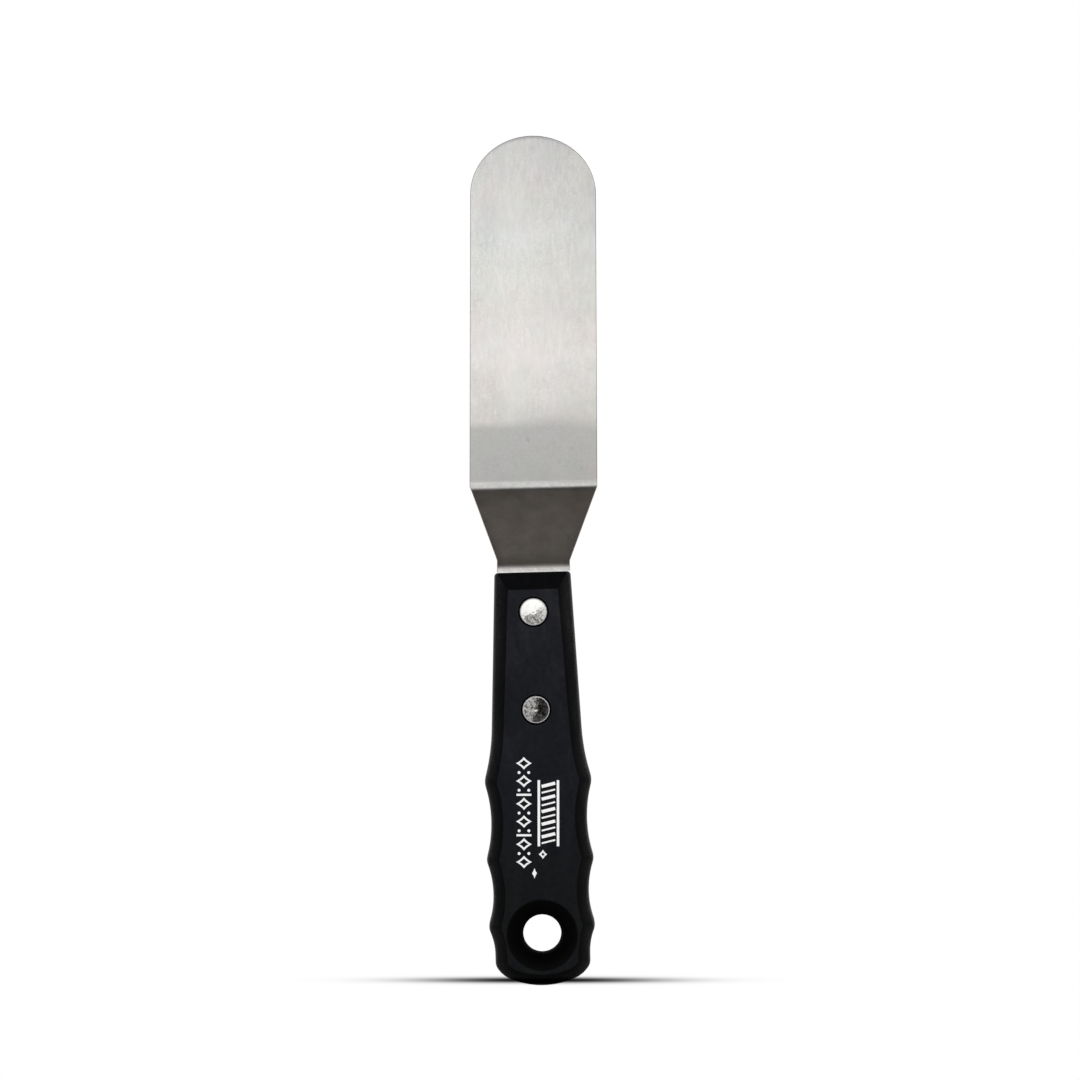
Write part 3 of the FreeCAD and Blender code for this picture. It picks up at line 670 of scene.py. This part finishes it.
def ornament(name, draw, ink):
    bm = bmesh.new()
    draw(bm)
    bmesh.ops.recalc_face_normals(bm, faces=bm.faces)
    mesh = bpy.data.meshes.new(name)
    bm.to_mesh(mesh)
    bm.free()
    piece = bpy.data.objects.new(name, mesh)
    scene.collection.objects.link(piece)
    mesh.materials.append(ink)
    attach(piece, "root")


# The left border from the top down, and each figure's room above and below its middle, mm
BORDER = "LdLdbLdLdbLdL"                # L hollow lozenge, d pair of dots, b bar
BORDER_ROOM = {"L": (1.6, 1.6), "d": (0.7, 0.5), "b": (0.62, 0.63)}
BORDER_U, BORDER_TOP = -3.75, 44.4


def draw_left(bm):
    u, v = BORDER_U, BORDER_TOP
    for kind in BORDER:
        above, below = BORDER_ROOM[kind]
        v -= above
        if kind == "L":
            slab(bm, lozenge(u, v, 1.95, 1.55), lozenge(u, v, 1.18, 0.88))
        elif kind == "d":
            for side in (-1.2, 1.2):
                slab(bm, circle(u + side, v, radius=0.36, count=20))
        else:
            slab(bm, bar(u - 1.85, v, u + 1.85, v, width=0.52))
        v -= below
    slab(bm, lozenge(-1.15, 15.5, 0.6, 1.3))


# The ladder on the right, mm
LADDER_LEFT, LADDER_RIGHT = -0.40, 5.05
LADDER_TOP, LADDER_FOOT = 38.6, 22.2
RAIL_IN, RAIL_WIDTH = 0.35, 0.62        # rail middle in from the side
STROKES, STROKE_PITCH = 10, 1.566
STROKE_DROP, STROKE_IN = 1.15, 1.05     # first stroke below the top, ends in from the sides
STROKE_RISE = 0.42                      # half the climb of a stroke
STROKE_WIDTHS = (0.78, 0.42)            # in turn


def draw_right(bm):
    """A ladder of slanting strokes between two rails, and a hollow lozenge below."""
    for u in (LADDER_LEFT + RAIL_IN, LADDER_RIGHT - RAIL_IN):
        slab(bm, bar(u, LADDER_TOP, u, LADDER_FOOT, RAIL_WIDTH))
    for k in range(STROKES):
        v = LADDER_TOP - STROKE_DROP - k * STROKE_PITCH
        slab(bm, bar(LADDER_LEFT + STROKE_IN, v - STROKE_RISE,
                     LADDER_RIGHT - STROKE_IN, v + STROKE_RISE, STROKE_WIDTHS[k % 2]))
    slab(bm, lozenge(0.95, 20.2, 1.05, 1.15), lozenge(0.95, 20.2, 0.45, 0.50))


# ------------------------------------------------------------------ finishes
def assign(names, material):
    for name in names:
        slots = pieces[name].data.materials
        if slots:
            for i in range(len(slots)):
                slots[i] = material
        else:
            slots.append(material)


def finish_pieces():
    steel = steel_material()
    plastic = plastic_material()
    ink = ink_material()
    upper = rivet_material(
        "nickel_upper_rivet", RIVET_Z[0], tilt=(0.0, 0.0, 0.0), plate=(0.74, 0.735, 0.71),
        stain_and_shade_color=(0.13, 0.125, 0.115), tarnish_and_shade=0.16, sector=(-154, 20), sector_shade=0.85, shift=0.0,
        ragged=1.9, sector_highlight=0.8, lean_to=1.0, ridge_highlight=0.0, seed=1.0)
    lower = rivet_material(
        "nickel_lower_rivet", RIVET_Z[1], tilt=(0.022, 0.0, -0.157), plate=(0.69, 0.685, 0.667),
        stain_and_shade_color=(0.045, 0.043, 0.039), tarnish_and_shade=0.94, sector=(-139, 124), sector_shade=0.97,
        shift=0.0010, ragged=0.8, sector_highlight=0.0, lean_to=0.0, ridge_highlight=0.75, seed=4.0)
    assign(["blade"], steel)
    assign(["handle_front_scale", "handle_rear_scale"], plastic)
    assign(["upper_rivet_barrel", "upper_rivet_post"], upper)
    assign(["lower_rivet_barrel", "lower_rivet_post"], lower)
    ornament("printed_ornament_left", draw_left, ink)
    ornament("printed_ornament_right", draw_right, ink)


# ------------------------------------------------------------------ stage: sky, floor, camera
# Reflected sky: (elevation in degrees, level)
SKY = [
    (-90, 0.04), (-60, 0.07), (-42, 0.22), (-28, 0.55), (-12, 0.80), (-4, 1.16), (1.0, 1.36),
    (6, 1.46), (14, 1.43), (22, 1.22), (30, 0.80), (38, 0.35), (48, 0.12), (60, 0.07), (90, 0.05)]
# Dim and unlit discs on the camera's side: direction x and z, radius, level
DISCS = [(0.21, -0.359, 0.400, 0.66), (0.23, -0.400, 0.272, 0.075)]
DISC_SOFT = 0.006
SKY_TINTS = (1.0, 0.99, 0.975), (0.99, 0.993, 1.0)      # low, high
FLOOR_HALF = 6.0
FLOOR_GAP = 0.00002                     # floor below the lowest point
# Shadow line on the floor: middle and spread
SHADOW_X, SHADOW_SPREAD_X = -0.0002, 0.0190
SHADOW_Y, SHADOW_SPREAD_Y = 0.0079, 0.0038
CAMERA_BACK, VIEW_WIDTH = 900.0, 270.0  # mm; the width is seen at the origin's depth


def sky_color(tree):
    x, y, z = tree.split(tree.get("ShaderNodeTexCoord", "Generated"))
    level = tree.ramp((z + 1.0) * 0.5, [
        ((math.sin(math.radians(elevation)) + 1) / 2, light) for elevation, light in SKY])
    # dark walls to both sides
    side = (tree.remap(abs(x), over=(0.50, 0.80), smooth=True)
            * (tree.remap(abs(z), over=(0.42, 0.12), smooth=True)
               * tree.remap(y, over=(0.42, 0.12), smooth=True)))
    level = level * (1.0 - side * 0.93)
    # dimmer behind the knife
    level = level * tree.mixf(tree.remap(y, over=(0.15, 0.6)), 1.0, 0.55)
    front = tree.remap(y, over=(-0.78, -0.90), smooth=True)
    for disc_x, disc_z, radius, light in DISCS:
        away = tree.math("SQRT", (x - disc_x) ** 2.0 + (z - disc_z) ** 2.0)
        disc = front * tree.remap(away, over=(radius + DISC_SOFT, radius - DISC_SOFT))
        level = tree.mixf(disc, level, light)
    tint = tree.mix(tree.remap(z, over=(-0.2, 0.3)), *SKY_TINTS)
    return tree.times(tint, level)


def world():
    """The sky shows in reflections; diffuse and camera rays meet plain white."""
    studio = bpy.data.worlds.new("studio")
    scene.world = studio
    studio.use_nodes = True
    tree = Tree(studio.node_tree)
    path = tree.node("ShaderNodeLightPath").outputs
    shader = tree.get("ShaderNodeBackground", 0, Color=sky_color(tree), Strength=1.0)
    for ray in ("Is Diffuse Ray", "Is Camera Ray"):
        white = tree.get("ShaderNodeBackground", 0, Color=(1, 1, 1, 1), Strength=1.0)
        mix = tree.node("ShaderNodeMixShader", Fac=path[ray])
        shader = tree.indexed(mix, {1: shader, 2: white})
    tree.node("ShaderNodeOutputWorld", Surface=shader)


def floor():
    """A white floor with the thin shadow line the knife stands on, seen by the camera only."""
    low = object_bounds()[0]
    mesh = bpy.data.meshes.new("floor")
    far = FLOOR_HALF
    mesh.from_pydata([(-far, -far, 0), (far, -far, 0), (far, far, 0), (-far, far, 0)], [],
                     [(0, 1, 2, 3)])
    plane = bpy.data.objects.new("floor", mesh)
    scene.collection.objects.link(plane)
    plane.location = (0, 0, low.z - FLOOR_GAP)
    plane.rotation_euler = (0, -ROLL, 0)

    material, tree, pos = new_material("pale_floor")
    x, y, _ = tree.split(pos)
    fade = shadow_fade(tree, ((x - SHADOW_X) / SHADOW_SPREAD_X) ** 2.0
                       + ((y - SHADOW_Y) / SHADOW_SPREAD_Y) ** 2.0)
    glow = tree.get("ShaderNodeEmission", 0, Strength=1.0,
                    Color=tree.times((1.0, 1.0, 1.0), shadow_kept(fade)))
    tree.node("ShaderNodeOutputMaterial", Surface=glow)
    mesh.materials.append(material)
    plane.visible_diffuse = False
    plane.visible_glossy = False
    plane.visible_transmission = False
    plane.visible_shadow = False
    plane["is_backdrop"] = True


def camera():
    lens = bpy.data.cameras.new("camera")
    viewer = bpy.data.objects.new("camera", lens)
    scene.collection.objects.link(viewer)
    lens.sensor_width = 36.0
    lens.lens = 36.0 * CAMERA_BACK / VIEW_WIDTH
    lens.clip_start = 0.05
    lens.clip_end = 20.0
    viewer.location = (0.002116, -CAMERA_BACK * MM, 0.098179)
    viewer.rotation_mode = "QUATERNION"
    look = Vector((0, 1, 0)).to_track_quat("-Z", "Y")
    viewer.rotation_quaternion = Quaternion((0, 1, 0), -ROLL) @ look
    scene.camera = viewer


finish_pieces()
world()
floor()
camera()
scene.view_settings.view_transform = "Standard"
scene.view_settings.look = "None"
scene.view_settings.exposure = 0.0
scene.view_settings.gamma = 1.0
